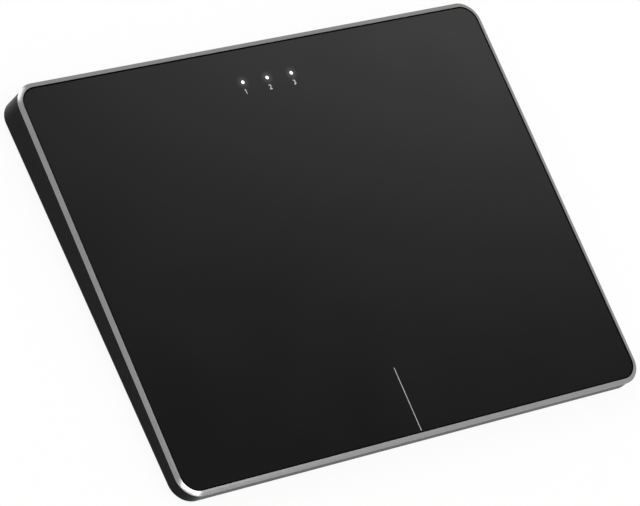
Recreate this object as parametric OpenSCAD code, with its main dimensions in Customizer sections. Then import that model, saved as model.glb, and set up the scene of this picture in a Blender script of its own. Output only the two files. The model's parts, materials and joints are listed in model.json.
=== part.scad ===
// Wireless trackpad with a hinged clicking touch plate, a bright bezel and a wedge-shaped case.
// Millimetres. X runs to the right, Y to the back, Z up; the feet rest on Z = 0.
// The deck frame has its origin at the middle of the bezel's lip and leans with the deck.

/* [Case] */
// Width across the side walls
case_w = 159.5; // [150:0.5:190]
// Depth across the front and back walls, along the sloping deck
case_d = 120.5; // [116:0.5:140]
// Corner radius of the walls in plan
corner_r = 6.15; // [5.6:0.05:10]
// Height of the front edge, bezel lip to underside, square to the deck
front_h = 5.35; // [4.8:0.05:6.5]
// Height of the back edge, bezel lip to underside, square to the deck
back_h = 10.25; // [9.4:0.05:12]
// Thickness of the side walls
wall_t = 2.2; // [2.1:0.1:2.6]
// Rounding of the lower outside edge
edge_r = 1.0; // [0.6:0.1:1.1]

/* [Bezel] */
// Width of the bezel in plan
bezel_w = 1.32; // [1.2:0.02:1.5]
// Overhang of the bezel past the case walls
overhang = 0.25; // [0.1:0.05:0.3]
// Fall of the bezel from its lip to its outer edge
bezel_drop = 0.5; // [0.4:0.01:0.7]
// Width of the gently sloping inner half of the bezel's face
land_w = 0.66; // [0.4:0.02:0.8]
// Fall across the inner half
land_drop = 0.2; // [0.1:0.01:0.25]
// Height of the bezel's outer lip
bezel_lip = 0.12; // [0.1:0.01:0.25]
// Thickness of the skirt that locates the bezel in the case
skirt_t = 0.6; // [0.4:0.05:0.7]
// Height of the bezel from lip to skirt end
bezel_h = 1.3; // [1.25:0.05:1.5]

/* [Touch plate] */
// Gap between the touch plate and the bezel
plate_gap = 0.4; // [0.3:0.05:0.5]
// Depth of the plate's face below the bezel's lip
plate_recess = 0.12; // [0.05:0.01:0.2]
// Corner radius of the touch plate
plate_r = 4.7; // [4:0.1:7]
// Thickness of the touch plate
plate_t = 0.9; // [0.7:0.05:1]
// Thickness of the bonding sheet
bond_t = 0.1; // [0.08:0.01:0.15]
// Thickness of the sensor board
sensor_t = 0.7; // [0.6:0.05:0.8]
// Thickness of the steel stiffener
stiff_t = 0.3; // [0.25:0.05:0.35]
// Setback of the sensor board and stiffener from the plate's edge
stack_inset = 1.2; // [1:0.1:1.6]

/* [Indicators and mark] */
// Spacing of the indicator lights
lamp_pitch = 8.4; // [7:0.1:10]
// Distance of the lights from the plate's back edge
lamp_setback = 9.6; // [9.2:0.1:11]
// Diameter of an indicator lens
lens_d = 1; // [0.95:0.05:1.5]
// Diameter of the light hole in the sensor board
light_hole_d = 0.8; // [0.6:0.05:0.9]
// Length of a lamp body
lamp_l = 2.0; // [1.6:0.1:2.6]
// Width of a lamp body
lamp_w = 1.25; // [1.2:0.05:1.6]
// Height of a lamp body
lamp_h = 0.6; // [0.5:0.05:0.8]
// Length of the divider mark
divider_l = 19; // [10:0.1:30]
// Width of the divider mark
divider_w = 0.16; // [0.15:0.01:0.6]
// Depth of the divider mark
divider_t = 0.05; // [0.03:0.01:0.1]

/* [Click hinge] */
// Distance of the hinges from the sides of the case
hinge_side = 27; // [26:0.5:28]
// Distance of the hinge pins from the case's back edge
hinge_setback = 7.5; // [7:0.1:8.5]
// Depth of the hinge pins below the stiffener
hinge_drop = 2; // [1.95:0.05:2.4]
// Diameter of the hinge pins
pin_d = 1.6; // [1.4:0.1:1.8]
// Radial running clearance of the stiffener's ears on the pins
pivot_gap = 0.05; // [0.03:0.01:0.08]
// Thickness of the stiffener's hinge ears
ear_t = 1; // [0.8:0.1:1.2]
// Radius of the round end of a hinge ear
ear_r = 1.7; // [1.6:0.05:1.8]
// Side clearance of a hinge ear in its bracket
ear_gap = 0.2; // [0.15:0.01:0.3]
// Thickness of the bracket cheeks
cheek_t = 1.2; // [1:0.1:1.4]
// Radius of the round top of the bracket cheeks
cheek_r = 1.6; // [1.4:0.05:1.65]
// Length of a hinge pin beyond each bracket cheek
pin_over = 0.3; // [0.2:0.05:0.5]
// Length of the bracket base
bracket_l = 15; // [14:0.5:16]
// Depth of the bracket base, front to back
bracket_w = 5; // [4.6:0.1:5.4]
// Thickness of the bracket base
bracket_t = 0.8; // [0.6:0.05:1]
// Height of the pad that carries a bracket
bracket_pad_h = 1.5; // [1.2:0.1:1.6]
// Spacing of a bracket's screws
bracket_screw_pitch = 10.4; // [9.8:0.1:11]

/* [Stiffener window] */
// Distance of the window's sides from the hinges
window_margin = 8; // [6:0.5:9]
// Depth of the window, front to back
window_d = 36; // [34:0.5:38]
// Margin of the click switch windows
click_margin = 0.5; // [0.4:0.05:0.8]

/* [Front stop tabs] */
// Distance of the stop tabs from the sides of the case
tab_side = 54; // [50:0.5:58]
// Width of a stop tab
tab_w = 10; // [6:0.5:12]
// Thickness of a stop tab
tab_t = 0.4; // [0.3:0.05:0.45]
// Step of a stop tab below the stiffener
tab_step = 0.25; // [0.2:0.05:0.3]
// Reach of a stop tab into the front wall
tab_reach = 0.8; // [0.6:0.05:0.9]
// Length of a stop tab under the stiffener
tab_root = 0.9; // [0.7:0.05:1.2]
// Gap over a stop tab when the plate is up
tab_gap = 0.05; // [0.03:0.01:0.1]

/* [Click switches] */
// Distance of the click switches from the sides of the case
click_side = 40; // [36:0.5:41]
// Distance of the click switches from the case's front edge
click_setback = 10.5; // [9:0.5:14]
// Width of a click switch body
click_w = 4.5; // [4:0.1:5]
// Height of a click switch body
click_h = 0.8; // [0.7:0.05:0.85]
// Diameter of a click plunger
click_plunger_d = 1.6; // [1.2:0.1:2]
// Length of a click plunger below its body
click_plunger_out = 0.35; // [0.32:0.01:0.4]
// Length of a click plunger inside its body
click_plunger_in = 0.25; // [0.2:0.01:0.28]
// Gap between a click plunger and its post
click_gap = 0.03; // [0.02:0.01:0.06]
// Diameter of the posts the plungers press on
click_post_d = 4; // [3:0.1:5]
// Travel allowed for the plate at the click switches
click_travel = 0.29; // [0.25:0.01:0.3]
// Diameter of a stop bumper
bumper_d = 5; // [4:0.1:6]
// Gap between a stop bumper and the stiffener when the plate is up
bumper_gap = 0.35; // [0.34:0.01:0.4]
// Distance of the bumpers from the sides of the case
bumper_side = 13; // [11:0.5:16]

/* [Bottom cover] */
// Thickness of the bottom cover
cover_t = 1.2; // [1.1:0.05:1.3]
// Case wall left outside the bottom cover
cover_wall = 1.2; // [1.15:0.05:1.4]
// Gap around the bottom cover
cover_gap = 0.1; // [0.06:0.01:0.15]
// Distance of the outer hooks from the sides of the case
hook_side = 30; // [24:0.5:34]
// Width of a front hook
hook_w = 8; // [6:0.5:10]
// Height of a front hook
hook_h = 1.05; // [0.95:0.05:1.1]
// Thickness of a hook's nose
hook_nose = 0.55; // [0.45:0.05:0.6]
// Reach of a hook's nose into the front wall
hook_reach = 0.6; // [0.4:0.05:0.7]
// Thickness of a hook's post
hook_post = 0.9; // [0.7:0.05:1.1]
// Diameter of the cover screws
cover_screw_d = 2; // [1.8:0.1:2.2]
// Head diameter of the cover screws
cover_head_d = 3.6; // [3.4:0.1:4]
// Head height of the cover screws
cover_head_h = 0.5; // [0.4:0.05:0.55]
// Depth of a cover screw head below the underside
cover_head_sunk = 0.1; // [0.05:0.01:0.15]
// Length of a cover screw's shank
cover_screw_l = 3.4; // [2.6:0.1:3.6]
// Distance of the cover screws from the side walls
boss_inset = 4; // [3.6:0.1:5]
// Distance of the back screws from the back edge
boss_back = 24; // [22:0.5:26]
// Distance of the side screws in front of the back ones
boss_step = 36; // [30:1:40]
// Gap between the bosses and the stiffener
boss_clear = 0.8; // [0.6:0.05:0.9]
// Diameter of the screw bosses
boss_d = 5.2; // [4.8:0.1:5.8]
// Width of the web that ties a boss to its wall
boss_web = 3; // [2:0.1:4]

/* [Feet] */
// Diameter of a foot
foot_d = 10; // [8:0.5:12]
// Height of a foot below the underside
foot_h = 1; // [0.8:0.1:1.6]
// Depth of a foot in its recess
foot_sunk = 0.5; // [0.3:0.05:0.6]
// Gap around a foot in its recess
foot_gap = 0.1; // [0.05:0.01:0.2]
// Bevel around a foot's face
foot_bevel = 0.3; // [0.1:0.05:0.4]
// Distance of the feet from the sides of the case
foot_side = 13; // [10:0.5:16]
// Distance of the feet from the front and back edges
foot_end = 12; // [10:0.5:14]

/* [Main board] */
// Width of the main board
board_w = 76; // [75:1:78]
// Depth of the main board
board_d = 18; // [17.5:0.5:19]
// Thickness of the main board
board_t = 0.8; // [0.7:0.05:0.9]
// Height of the main board over the cover
board_lift = 2.2; // [2.15:0.05:2.4]
// Gap between the main board and the back wall
board_setback = 3; // [2.6:0.1:3.4]
// Inset of the board screws from the board's corners
board_screw_inset = 3; // [2.6:0.1:3.4]
// Diameter of the standoffs
standoff_d = 4; // [3.4:0.1:4.4]
// Diameter of the small screws
small_screw_d = 1.6; // [1.4:0.1:1.7]
// Head diameter of the small screws
small_head_d = 2.8; // [2.6:0.1:3.2]
// Head height of the small screws
small_head_h = 0.6; // [0.5:0.05:0.7]
// Radial clearance of the screws in their holes
screw_gap = 0.05; // [0.03:0.01:0.1]
// Solid left under the small screws' blind holes
blind_left = 0.5; // [0.4:0.05:0.6]
// Width of the radio module
radio_w = 12; // [10:0.5:14]
// Depth of the radio module
radio_d = 9; // [7:0.5:9.5]
// Height of the radio module
radio_h = 1.4; // [1:0.1:1.8]
// Wall of the radio module's can
radio_wall = 0.2; // [0.15:0.05:0.3]
// Width of the controller chip
chip_w = 6; // [5:0.5:7]
// Width of the charging chip
charge_chip_w = 3; // [2.5:0.5:4]
// Height of the chips
chip_h = 0.8; // [0.6:0.05:1]

/* [Charging port] */
// Outside width of the port's shell
port_w = 8.94; // [8.8:0.02:9.1]
// Outside height of the port's shell
port_h = 3.16; // [3.1:0.02:3.2]
// Length of the port's shell
port_l = 7.35; // [7:0.05:7.6]
// Wall of the port's shell
port_wall = 0.3; // [0.25:0.01:0.35]
// Depth of the port's mouth behind the wall's face
port_sunk = 0.2; // [0.1:0.05:0.4]
// Gap around the port in the back wall
port_gap = 0.15; // [0.1:0.01:0.2]
// Width of the port's tongue
tongue_w = 6.69; // [6.5:0.01:6.8]
// Thickness of the port's tongue
tongue_t = 0.7; // [0.6:0.05:0.8]
// Length of the port's tongue
tongue_l = 4.45; // [4.2:0.05:4.8]
// Length of the block behind the tongue
tongue_base = 2; // [1.6:0.1:2.2]
// Length of a shell foot on the board
port_foot_l = 1.6; // [1.2:0.1:2]
// Width of a shell foot on the board
port_foot_w = 1.2; // [0.8:0.1:1.6]

/* [Flat cable] */
// Distance of the flat cable from the main board's end
flex_end = 9.5; // [9:0.1:10]
// Width of the flat cable
flex_w = 6; // [5:0.5:6.5]
// Thickness of the flat cable
flex_t = 0.2; // [0.15:0.01:0.25]
// Width of a flat-cable socket
flex_socket_w = 7.6; // [7.4:0.1:8]
// Depth of a flat-cable socket
flex_socket_d = 3.6; // [3.2:0.1:4]
// Height of a flat-cable socket
flex_socket_h = 1; // [0.95:0.05:1.2]
// Depth of the flat cable in its sockets
flex_in = 2; // [1.5:0.1:2.4]
// Gap around the flat cable in its sockets
flex_gap = 0.2; // [0.15:0.01:0.25]
// Free length of the flat cable between its sockets
flex_run = 11; // [10:0.5:13]

/* [Battery] */
// Width of the battery cell
cell_w = 48; // [40:1:49]
// Depth of the battery cell
cell_d = 30; // [24:1:31]
// Thickness of the battery cell
cell_t = 3.2; // [2.6:0.1:3.4]
// Corner radius of the battery cell
cell_r = 2; // [1:0.1:3]
// Thickness of the battery tape
tape_t = 0.2; // [0.1:0.05:0.3]
// Setback of the tape from the cell's edge
tape_inset = 4; // [2:0.5:6]
// Gap between the cell and the main board
cell_setback = 4.2; // [4:0.1:4.6]
// Length of the protection board
guard_l = 24; // [20:1:28]
// Width of the protection board
guard_w = 2.4; // [2:0.1:2.6]
// Thickness of the protection board
guard_t = 0.8; // [0.6:0.05:1]
// Height of the protection board over the cover
guard_lift = 1.4; // [1:0.1:1.6]
// Diameter of a battery lead
lead_d = 0.8; // [0.6:0.05:0.9]
// Spacing of the battery leads
lead_pitch = 1.25; // [1.1:0.05:1.4]
// Distance of the battery socket from the main board's end
socket_end = 10; // [9:0.1:10.5]
// Width of the battery socket
socket_w = 5; // [4.8:0.1:5.4]
// Depth of the battery socket
socket_d = 4; // [3.6:0.1:4.4]
// Height of the battery socket
socket_h = 1.8; // [1.7:0.1:2]
// Wall of the battery socket
socket_wall = 0.4; // [0.3:0.05:0.5]
// Gap around the battery plug in its socket
plug_gap = 0.05; // [0.03:0.01:0.08]
// Length of the plug outside its socket
plug_out = 0.8; // [0.6:0.1:1]

/* [Power slider] */
// Distance of the power switch and channel button from the middle
control_x = 18; // [17:0.5:19]
// Travel of the power slider
slide_travel = 2; // [1.6:0.1:2.2]
// Length of the power switch body
slide_body_l = 7; // [6.6:0.1:7.4]
// Width of the power switch body
slide_body_w = 2.8; // [2.6:0.1:3.2]
// Height of the power switch body
slide_body_h = 1.4; // [1.35:0.05:1.5]
// Width of the power switch stem
stem_w = 1.2; // [1:0.1:1.4]
// Length of the power slider's grip
grip_l = 4; // [3.4:0.1:4.2]
// Width of the power slider's grip
grip_w = 2.4; // [2.2:0.1:2.8]
// Length of the power slider's flange
flange_l = 8.4; // [8:0.1:8.8]
// Width of the power slider's flange
flange_w = 4.2; // [4:0.1:4.6]
// Thickness of the sliding and pressing flanges
flange_t = 0.45; // [0.4:0.01:0.5]
// Running gap of the slider and button
run_gap = 0.06; // [0.05:0.01:0.1]
// Width of the grip's grooves
groove_w = 0.4; // [0.3:0.05:0.5]
// Depth of the grip's grooves
groove_t = 0.25; // [0.15:0.05:0.3]
// Depth of the finger dish around the slider
dish_t = 0.3; // [0.2:0.05:0.4]
// Margin of the finger dish around the slot
dish_margin = 2; // [1.5:0.1:2.5]

/* [Channel button] */
// Diameter of the channel button
button_d = 5.4; // [5:0.1:6]
// Diameter of the button's flange
button_flange_d = 7.2; // [7:0.1:7.6]
// Depth of the button's face above the underside
button_sunk = 0.15; // [0.1:0.01:0.25]
// Travel of the channel button
press_travel = 0.3; // [0.25:0.01:0.32]
// Width of the channel switch body
press_body_w = 4.6; // [4.4:0.1:5]
// Height of the channel switch body
press_body_h = 1.25; // [1.2:0.01:1.3]
// Diameter of the channel switch plunger
press_plunger_d = 1.8; // [1.6:0.1:2]
// Length of the channel switch plunger
press_plunger_l = 1; // [0.9:0.05:1.1]

/* [Hidden] */
$fn = 64;
eps = 0.01;
far = 400;
sides = [["left", -1], ["right", 1]];
ends = [["front", -1], ["back", 1]];
lamps = [["1", -1], ["2", 0], ["3", 1]];

// Slope of the deck over the underside
tilt = atan((back_h - front_h) / case_d);
deck_shift = (overhang * cos(tilt) - (bezel_drop + back_h - edge_r) * sin(tilt)) / 2;
deck_lift = foot_h + case_d / 2 * sin(tilt) + front_h * cos(tilt);

// Heights in the deck frame
shoulder_z = -(bezel_drop + bezel_lip);
plate_z = -(plate_recess + plate_t);
bond_z = plate_z - bond_t;
sensor_z = bond_z - sensor_t;
stiff_z = sensor_z - stiff_t;
ledge_z = plate_z - 2 * click_travel;
hinge_z = stiff_z - hinge_drop;
tab_z = stiff_z - tab_step - tab_t;
click_body_z = sensor_z - click_h;
click_tip_z = click_body_z - click_plunger_out;

// Plan sizes in the deck frame
seat_w = bezel_w - overhang;
open_w = case_w - 2 * seat_w;
open_d = case_d - 2 * seat_w;
open_r = corner_r - seat_w;
plate_w = open_w - 2 * plate_gap;
plate_d = open_d - 2 * plate_gap;
stack_w = plate_w - 2 * stack_inset;
stack_d = plate_d - 2 * stack_inset;
stack_r = plate_r - stack_inset;
inner_w = case_w - 2 * wall_t;
inner_d = case_d - 2 * wall_t;
inner_r = corner_r - wall_t;
hinge_x = case_w / 2 - hinge_side;
hinge_y = case_d / 2 - hinge_setback;
click_x = case_w / 2 - click_side;
click_y = -case_d / 2 + click_setback;
tab_x = case_w / 2 - tab_side;
hook_x = case_w / 2 - hook_side;
lamp_y = plate_d / 2 - lamp_setback;
divider_y = -plate_d / 2;

// From the deck frame to the desk frame
function desk_y(y, z) = y * cos(tilt) - z * sin(tilt) + deck_shift;
function desk_z(y, z) = y * sin(tilt) + z * cos(tilt) + deck_lift;

// Height of the cover's inside face in the deck frame
function cover_z(y) = -front_h - (back_h - front_h) * (y / case_d + 1 / 2) + cover_t / cos(tilt);

// Desk frame: underside outline, heights over the cover's inside face
under_front = desk_y(-case_d / 2, -front_h);
under_back = desk_y(case_d / 2, -back_h);
under_d = under_back - under_front;
under_y = (under_back + under_front) / 2;
cover_w = case_w - 2 * cover_wall;
cover_d = under_d - 2 * cover_wall;
cover_r = corner_r - cover_wall;
edge_lean = edge_r / 16;
floor_z = foot_h + cover_t;
board_mid = board_lift + board_t / 2;
board_top = board_lift + board_t;
wall_out = desk_y(case_d / 2, 0) + (desk_z(case_d / 2, 0) - floor_z - board_mid) * tan(tilt);
wall_in = wall_out - wall_t / cos(tilt);
board_back = wall_in - board_setback;
board_front = board_back - board_d;
board_y = board_back - board_d / 2;
flex_x = board_w / 2 - flex_end;
socket_x = board_w / 2 - socket_end;
port_mouth = wall_out - port_sunk;
port_end = port_mouth - port_l;
hinge_desk_y = desk_y(hinge_y, hinge_z);
hinge_desk_z = desk_z(hinge_y, hinge_z) - floor_z;
boss_x = case_w / 2 - wall_t - boss_inset;
screw_tip = cover_head_sunk + cover_head_h + cover_screw_l - cover_t;
boss_rows = [under_back - boss_back, under_back - boss_back - boss_step];
front_wall_in = desk_y(-inner_d / 2, cover_z(-inner_d / 2));
foot_x = case_w / 2 - foot_side;
cell_back = board_front - cell_setback;
cell_y = cell_back - cell_d / 2;
guard_y = cell_back + guard_w / 2;
control_y = board_y;
flange_z = run_gap;
flange_top = flange_z + flange_t;
cheek_in = ear_t / 2 + ear_gap;
pin_l = 2 * (cheek_in + cheek_t + pin_over);
plug_w = socket_w - 2 * (socket_wall + plug_gap);
plug_h = socket_h - 2 * (socket_wall + plug_gap);
plug_front = board_front - plug_out;
plug_z = board_top + socket_h / 2;

// Window in the stiffener for the parts under the sensor board
window_w = 2 * (hinge_x - window_margin);
window_back = lamp_y + lamp_w;
window_front = window_back - window_d;
flex_pad_back = board_front - flex_run;

// Frames and outlines
module deck() {
    translate([0, deck_shift, deck_lift]) rotate([tilt, 0, 0]) children();
}

module on_floor(x, y, z) {
    translate([x, y, floor_z + z]) children();
}

module round_rect(w, d, r) {
    square([w - 2 * r, d], center = true);
    square([w, d - 2 * r], center = true);
    for (x = [-1, 1], y = [-1, 1]) {
        translate([x * (w / 2 - r), y * (d / 2 - r)]) circle(r);
    }
}

module slab(w, d, r, z0, z1) {
    translate([0, 0, z0]) linear_extrude(z1 - z0) round_rect(w, d, r);
}

module block(w, d, z0, z1) {
    translate([-w / 2, -d / 2, z0]) cube([w, d, z1 - z0]);
}

module stadium(w, h) {
    square([w - h, h], center = true);
    for (x = [-1, 1]) translate([x * (w - h) / 2, 0]) circle(h / 2);
}

// Carries a section around a rounded rectangle; the section's X points outwards
module around(w, d, r) {
    for (q = [0:3]) {
        flip = q % 2 == 0 ? 0 : 1;
        half_w = (flip == 0 ? w : d) / 2;
        half_d = (flip == 0 ? d : w) / 2;
        rotate([0, 0, q * 90]) {
            translate([half_w, half_d - r, 0]) rotate([90, 0, 0]) linear_extrude(2 * (half_d - r)) children();
            translate([half_w - r, half_d - r, 0]) rotate_extrude(angle = 90) translate([r, 0]) children();
        }
    }
}

// Everything below a height in the deck frame
module below_deck(z) {
    deck() translate([-far / 2, -far / 2, z - far]) cube(far);
}

// Cross recess in a screw head
module cross_recess(w, t) {
    for (a = [0, 90]) rotate([0, 0, a]) translate([-w / 2, -w / 8, 0]) cube([w, w / 4, t]);
}

// Touch plate assembly
module touch_plate() color("#262626") deck() difference() {
    slab(plate_w, plate_d, plate_r, plate_z, -plate_recess);
    for (l = lamps) {
        translate([l[1] * lamp_pitch, lamp_y, plate_z - eps]) cylinder(d = lens_d + 2 * eps, h = plate_t + 2 * eps);
    }
    translate([-divider_w / 2, divider_y - eps, -plate_recess - divider_t]) cube([divider_w, divider_l + eps, 1]);
}

module divider_mark() color("#c8c8c8") deck() {
    translate([-divider_w / 2, divider_y, -plate_recess - divider_t]) cube([divider_w, divider_l, divider_t]);
}

module bond_sheet() color("#3a3a34") deck() difference() {
    slab(stack_w, stack_d, stack_r, bond_z, plate_z);
    for (l = lamps) {
        translate([l[1] * lamp_pitch, lamp_y, bond_z - eps]) cylinder(d = lens_d + 2 * eps, h = bond_t + 2 * eps);
    }
}

module sensor_board() color("#14502c") deck() difference() {
    slab(stack_w, stack_d, stack_r, sensor_z, bond_z);
    for (l = lamps) {
        translate([l[1] * lamp_pitch, lamp_y, sensor_z - eps]) cylinder(d = light_hole_d, h = sensor_t + 2 * eps);
    }
}

module indicator_lens(i) color("#f4f8ff") deck() {
    translate([i * lamp_pitch, lamp_y, bond_z]) cylinder(d = lens_d, h = -plate_recess - bond_z);
}

module indicator_lamp(i) color("#f0ead0") deck() {
    translate([i * lamp_pitch, lamp_y, 0]) block(lamp_l, lamp_w, sensor_z - lamp_h, sensor_z);
}

module touch_chip() color("#1c1c1c") deck() {
    translate([-flex_x, flex_pad_back, 0]) block(chip_w, chip_w, sensor_z - chip_h, sensor_z);
}

module flex_socket_pad() color("#d8d2c0") deck() {
    translate([flex_x, flex_pad_back - flex_socket_d / 2, 0]) difference() {
        block(flex_socket_w, flex_socket_d, sensor_z - flex_socket_h, sensor_z);
        translate([0, flex_socket_d / 2 - flex_in, sensor_z - flex_socket_h / 2]) {
            block(flex_w + 2 * flex_gap, 2 * flex_in, -flex_t / 2 - flex_gap, flex_t / 2 + flex_gap);
        }
    }
}

module stiffener() color("#9a9a98") deck() difference() {
    union() {
        difference() {
            slab(stack_w, stack_d, stack_r, stiff_z, sensor_z);
            translate([0, (window_front + window_back) / 2, 0]) {
                block(window_w, window_back - window_front, stiff_z - 1, sensor_z + 1);
            }
            for (s = sides) {
                translate([s[1] * click_x, click_y, 0]) {
                    block(click_w + 2 * click_margin, click_w + 2 * click_margin, stiff_z - 1, sensor_z + 1);
                }
            }
        }
        for (s = sides) {
            stop_tab(s[1]);
            hinge_ear(s[1]);
        }
    }
    for (s = sides) {
        translate([s[1] * hinge_x - ear_t, hinge_y, hinge_z]) rotate([0, 90, 0]) {
            cylinder(d = pin_d + 2 * pivot_gap, h = 2 * ear_t);
        }
    }
}

module stop_tab(side) {
    front = -inner_d / 2 - tab_reach;
    root = -stack_d / 2 + tab_root;
    translate([side * tab_x - tab_w / 2, front, tab_z]) cube([tab_w, root - front, tab_t]);
    translate([side * tab_x - tab_w / 2, -stack_d / 2, tab_z]) cube([tab_w, tab_root, stiff_z - tab_z + stiff_t / 2]);
}

module hinge_ear(side) {
    translate([side * hinge_x - ear_t / 2, hinge_y, hinge_z]) {
        rotate([0, 90, 0]) cylinder(r = ear_r, h = ear_t);
        translate([0, -ear_r, 0]) cube([ear_t, 2 * ear_r, hinge_drop + stiff_t / 2]);
    }
}

// Click switches
module click_switch(side) color("#d9d9d2") deck() translate([side * click_x, click_y, 0]) difference() {
    block(click_w, click_w, click_body_z, sensor_z);
    translate([0, 0, click_body_z - eps]) {
        cylinder(d = click_plunger_d + 2 * pivot_gap, h = click_plunger_in + click_travel + 2 * pivot_gap);
    }
}

module click_plunger(side) color("#3c3c3c") deck() translate([side * click_x, click_y, click_tip_z]) {
    cylinder(d = click_plunger_d, h = click_plunger_out + click_plunger_in);
}

module stop_bumper(side) color("#2e2e2e") {
    intersection() {
        deck() translate([side * (case_w / 2 - bumper_side), click_y, stiff_z - bumper_gap - back_h]) {
            cylinder(d = bumper_d, h = back_h);
        }
        on_floor(-far / 2, -far / 2, 0) cube(far);
    }
}

// Hinge
module hinge_bracket(side) color("#b4b4b0") on_floor(side * hinge_x, hinge_desk_y, 0) difference() {
    union() {
        block(bracket_l, bracket_w, bracket_pad_h, bracket_pad_h + bracket_t);
        for (s = sides) {
            translate([s[1] * (cheek_in + cheek_t / 2) - cheek_t / 2, 0, 0]) {
                translate([0, -cheek_r, bracket_pad_h]) cube([cheek_t, 2 * cheek_r, hinge_desk_z - bracket_pad_h]);
                translate([0, 0, hinge_desk_z]) rotate([0, 90, 0]) cylinder(r = cheek_r, h = cheek_t);
            }
        }
    }
    translate([-pin_l, 0, hinge_desk_z]) rotate([0, 90, 0]) cylinder(d = pin_d + 2 * eps, h = 2 * pin_l);
    for (s = sides) {
        translate([s[1] * bracket_screw_pitch / 2, 0, bracket_pad_h - 1]) {
            cylinder(d = small_screw_d + 2 * screw_gap, h = bracket_t + 2);
        }
    }
}

module hinge_pin(side) color("#c8c8c8") on_floor(side * hinge_x - pin_l / 2, hinge_desk_y, hinge_desk_z) {
    rotate([0, 90, 0]) cylinder(d = pin_d, h = pin_l);
}

module small_screw(shank) {
    difference() {
        union() {
            cylinder(d = small_head_d, h = small_head_h);
            translate([0, 0, -shank]) cylinder(d = small_screw_d, h = shank + small_head_h / 2);
        }
        translate([0, 0, small_head_h / 2]) cross_recess(small_head_d * 2 / 3, small_head_h);
    }
}

module hinge_screws() color("#9c9c9c") {
    for (h = sides, s = sides) {
        on_floor(h[1] * hinge_x + s[1] * bracket_screw_pitch / 2, hinge_desk_y, bracket_pad_h + bracket_t) {
            small_screw(bracket_t + bracket_pad_h);
        }
    }
}

// Case
module bezel_ring() color("#b9bbbd") deck() around(open_w, open_d, open_r) {
    polygon([
        [0, 0],
        [land_w, -land_drop],
        [bezel_w, -bezel_drop],
        [bezel_w, shoulder_z],
        [skirt_t, shoulder_z],
        [skirt_t, -bezel_h],
        [0, -bezel_h]
    ]);
}

// Section outside the rounded lower edge, with the wall's foot at its origin
module edge_section() {
    difference() {
        translate([-edge_r, -edge_r]) square([2 * edge_r, 2 * edge_r]);
        translate([edge_lean - edge_r, edge_r - edge_lean]) circle(edge_r);
    }
}

module case_boss(side, y) {
    intersection() {
        on_floor(side * boss_x, y, 0) {
            cylinder(d = boss_d, h = back_h);
            reach = boss_inset + wall_t / 4;
            translate([side > 0 ? 0 : -reach, -boss_web / 2, 0]) cube([reach, boss_web, back_h]);
        }
        below_deck(stiff_z - boss_clear);
    }
}

module case_frame() color("#161616") difference() {
    union() {
        difference() {
            deck() slab(case_w, case_d, corner_r, -back_h - 1, shoulder_z);
            deck() slab(inner_w, inner_d, inner_r, -back_h - 2, 1);
        }
        for (s = sides, y = boss_rows) case_boss(s[1], y);
    }
    translate([-far / 2, -far / 2, foot_h - far]) cube(far);
    translate([0, under_y, foot_h]) around(case_w, under_d, corner_r + edge_lean) edge_section();
    translate([0, under_y, 0]) {
        slab(cover_w + 2 * cover_gap, cover_d + 2 * cover_gap, cover_r + cover_gap, 0, floor_z);
    }
    deck() slab(open_w + 2 * (skirt_t + eps), open_d + 2 * (skirt_t + eps), open_r + skirt_t + eps, -bezel_h, 1);
    deck() slab(open_w, open_d, open_r, ledge_z, 1);
    deck() for (s = sides) tab_pocket(s[1]);
    for (x = [-hook_x, 0, hook_x]) hook_pocket(x);
    port_opening();
    for (s = sides, y = boss_rows) {
        on_floor(s[1] * boss_x, y, -1) cylinder(d = cover_screw_d + 2 * screw_gap, h = screw_tip + screw_gap + 1);
    }
}

module tab_pocket(side) {
    room = tab_reach + tab_t / 2;
    translate([side * tab_x - tab_w / 2 - tab_t, -inner_d / 2 - room, tab_z - 2 * click_travel]) {
        cube([tab_w + 2 * tab_t, room + 1, tab_t + tab_gap + 2 * click_travel]);
    }
}

module hook_pocket(x) {
    on_floor(x - hook_w / 2 - 2 * cover_gap, front_wall_in - hook_reach - 2 * cover_gap, hook_h - hook_nose - cover_gap) {
        cube([hook_w + 4 * cover_gap, hook_reach + 1, hook_nose + 2 * cover_gap]);
    }
}

module port_opening() {
    on_floor(0, wall_out + wall_t, board_mid) rotate([90, 0, 0]) {
        linear_extrude(3 * wall_t) stadium(port_w + 2 * port_gap, port_h + 2 * port_gap);
    }
}

module bottom_cover() color("#1a1a1a") difference() {
    union() {
        translate([0, under_y, 0]) slab(cover_w, cover_d, cover_r, foot_h, floor_z);
        for (x = [-hook_x, 0, hook_x]) front_hook(x);
        for (s = sides) {
            on_floor(s[1] * hinge_x, hinge_desk_y, 0) block(bracket_l, bracket_w, -eps, bracket_pad_h);
            click_post(s[1]);
        }
        board_spots() translate([0, 0, -eps]) cylinder(d = standoff_d, h = board_lift + eps);
    }
    for (s = sides) {
        for (y = boss_rows) cover_screw_hole(s[1], y);
        for (e = ends) foot_recess(e[1], s[1]);
        for (h = sides) {
            on_floor(h[1] * hinge_x + s[1] * bracket_screw_pitch / 2, hinge_desk_y, blind_left - cover_t) {
                cylinder(d = small_screw_d + 2 * screw_gap, h = cover_t + bracket_pad_h);
            }
        }
    }
    board_spots() translate([0, 0, blind_left - cover_t]) {
        cylinder(d = small_screw_d + 2 * screw_gap, h = cover_t + board_lift);
    }
    slider_slot();
    on_floor(control_x, control_y, -cover_t - 1) cylinder(d = button_d + 4 * run_gap, h = cover_t + 2);
}

module front_hook(x) {
    on_floor(x, front_wall_in + 2 * cover_gap, 0) {
        translate([-hook_w / 2, 0, -eps]) cube([hook_w, hook_post, hook_h + eps]);
        translate([-hook_w / 2, -hook_reach - 2 * cover_gap, hook_h - hook_nose]) {
            cube([hook_w, hook_reach + 2 * cover_gap + hook_post, hook_nose]);
        }
    }
}

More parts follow.
